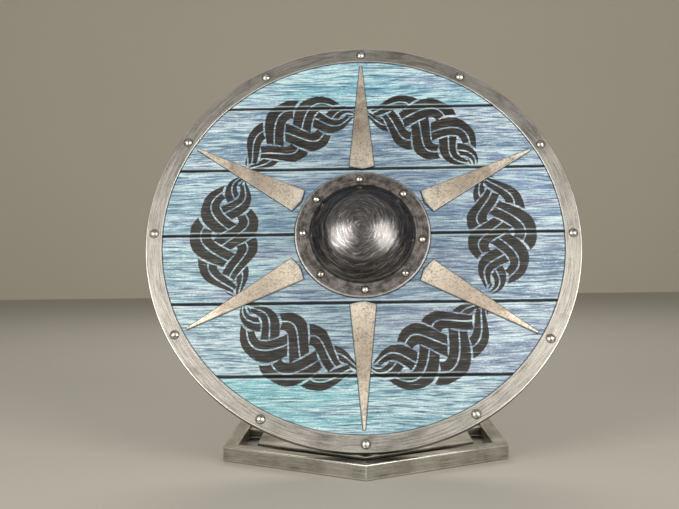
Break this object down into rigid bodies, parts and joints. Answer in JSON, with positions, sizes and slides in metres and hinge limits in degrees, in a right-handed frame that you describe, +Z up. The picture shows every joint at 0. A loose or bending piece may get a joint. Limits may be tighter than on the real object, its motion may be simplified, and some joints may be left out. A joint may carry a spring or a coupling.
{
  "type": "round plank shield on a stand",
  "caption": "Round wooden plank shield with a steel rim, domed hand boss and flat radiating spikes, leaning on a hexagonal tube stand",
  "frame": {"origin": "On the table, under the centre of the stand's hexagon", "axes": "+X to the viewer's right along the planks, +Y away from the viewer, +Z up; the shield faces -Y and leans back 22 degrees"},
  "size_m": [0.61, 0.4498, 0.5916],
  "materials": {
    "stained_planks": "blue stained boards, streaky grain, black knotwork painted on, worn satin",
    "bare_wood": "oiled brown timber, dull",
    "rim_steel": "rubbed steel with darkened patches and bright edges",
    "boss_steel": "blackened steel, turned polish marks, low gloss",
    "spike_steel": "mottled satin steel with bright ground edges",
    "rivet_steel": "bright domed heads",
    "stand_steel": "hand sanded raw steel with worn bright edges"
  },
  "bodies": {
    "root": {"base-plate": "stand_steel", "batten-left": "bare_wood", "batten-right": "bare_wood", "boss": "boss_steel", "boss-rivet-1": "rivet_steel", "boss-rivet-2": "rivet_steel", "boss-rivet-3": "rivet_steel", "boss-rivet-4": "rivet_steel", "boss-rivet-5": "rivet_steel", "boss-rivet-6": "rivet_steel", "boss-rivet-7": "rivet_steel", "boss-rivet-8": "rivet_steel", "cross-bar-back": "stand_steel", "cross-bar-front": "stand_steel", "frame-tube-back-left": "stand_steel", "frame-tube-back-right": "stand_steel", "frame-tube-front-left": "stand_steel", "frame-tube-front-right": "stand_steel", "frame-tube-left": "stand_steel", "frame-tube-right": "stand_steel", "grip": "bare_wood", "plank-1": "stained_planks", "plank-2": "stained_planks", "plank-3": "stained_planks", "plank-4": "stained_planks", "plank-5": "stained_planks", "plank-6": "stained_planks", "post": "stand_steel", "rest-bar": "stand_steel", "rim": "rim_steel", "rim-rivet-1": "rivet_steel", "rim-rivet-10": "rivet_steel", "rim-rivet-11": "rivet_steel", "rim-rivet-12": "rivet_steel", "rim-rivet-2": "rivet_steel", "rim-rivet-3": "rivet_steel", "rim-rivet-4": "rivet_steel", "rim-rivet-5": "rivet_steel", "rim-rivet-6": "rivet_steel", "rim-rivet-7": "rivet_steel", "rim-rivet-8": "rivet_steel", "rim-rivet-9": "rivet_steel", "spike-1": "spike_steel", "spike-2": "spike_steel", "spike-3": "spike_steel", "spike-4": "spike_steel", "spike-5": "spike_steel", "spike-6": "spike_steel", "strut": "stand_steel"}
  },
  "joints": []
}
